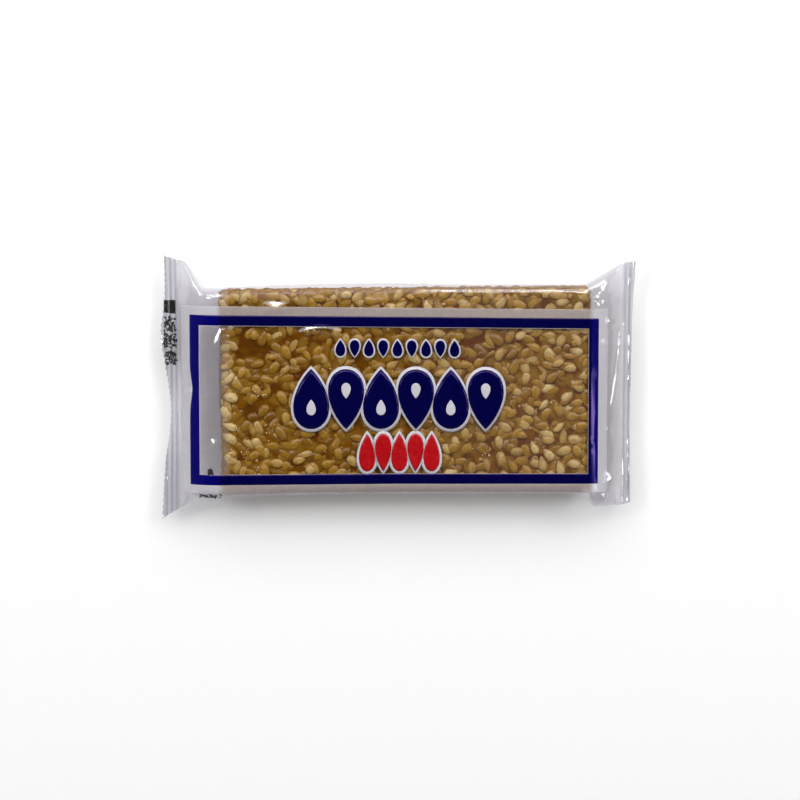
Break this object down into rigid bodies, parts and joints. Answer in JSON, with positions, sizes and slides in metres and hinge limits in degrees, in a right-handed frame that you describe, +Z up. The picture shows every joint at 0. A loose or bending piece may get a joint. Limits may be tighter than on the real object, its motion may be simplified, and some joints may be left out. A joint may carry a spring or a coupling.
{
  "type": "wrapped pack of sesame brittle slices",
  "caption": "Clear flow-wrapped pack of sesame brittle slices with crimped end seals, a folded back seam and a printed frame on its window face, lying flat.",
  "frame": {"origin": "on the resting surface, under the middle of the pack's box", "axes": "+X along the pack towards its right seal, +Y across the pack towards its upper long side, +Z up out of the window face"},
  "size_m": [0.101, 0.0564, 0.011],
  "materials": {
    "clear_film": "glossy clear film over amber sesame brittle",
    "sesame_brittle": "glassy sugar with pale seeds",
    "film_print": "ink printed on glossy film"
  },
  "bodies": {
    "root": {"flow_pack": "clear_film"}
  },
  "joints": []
}
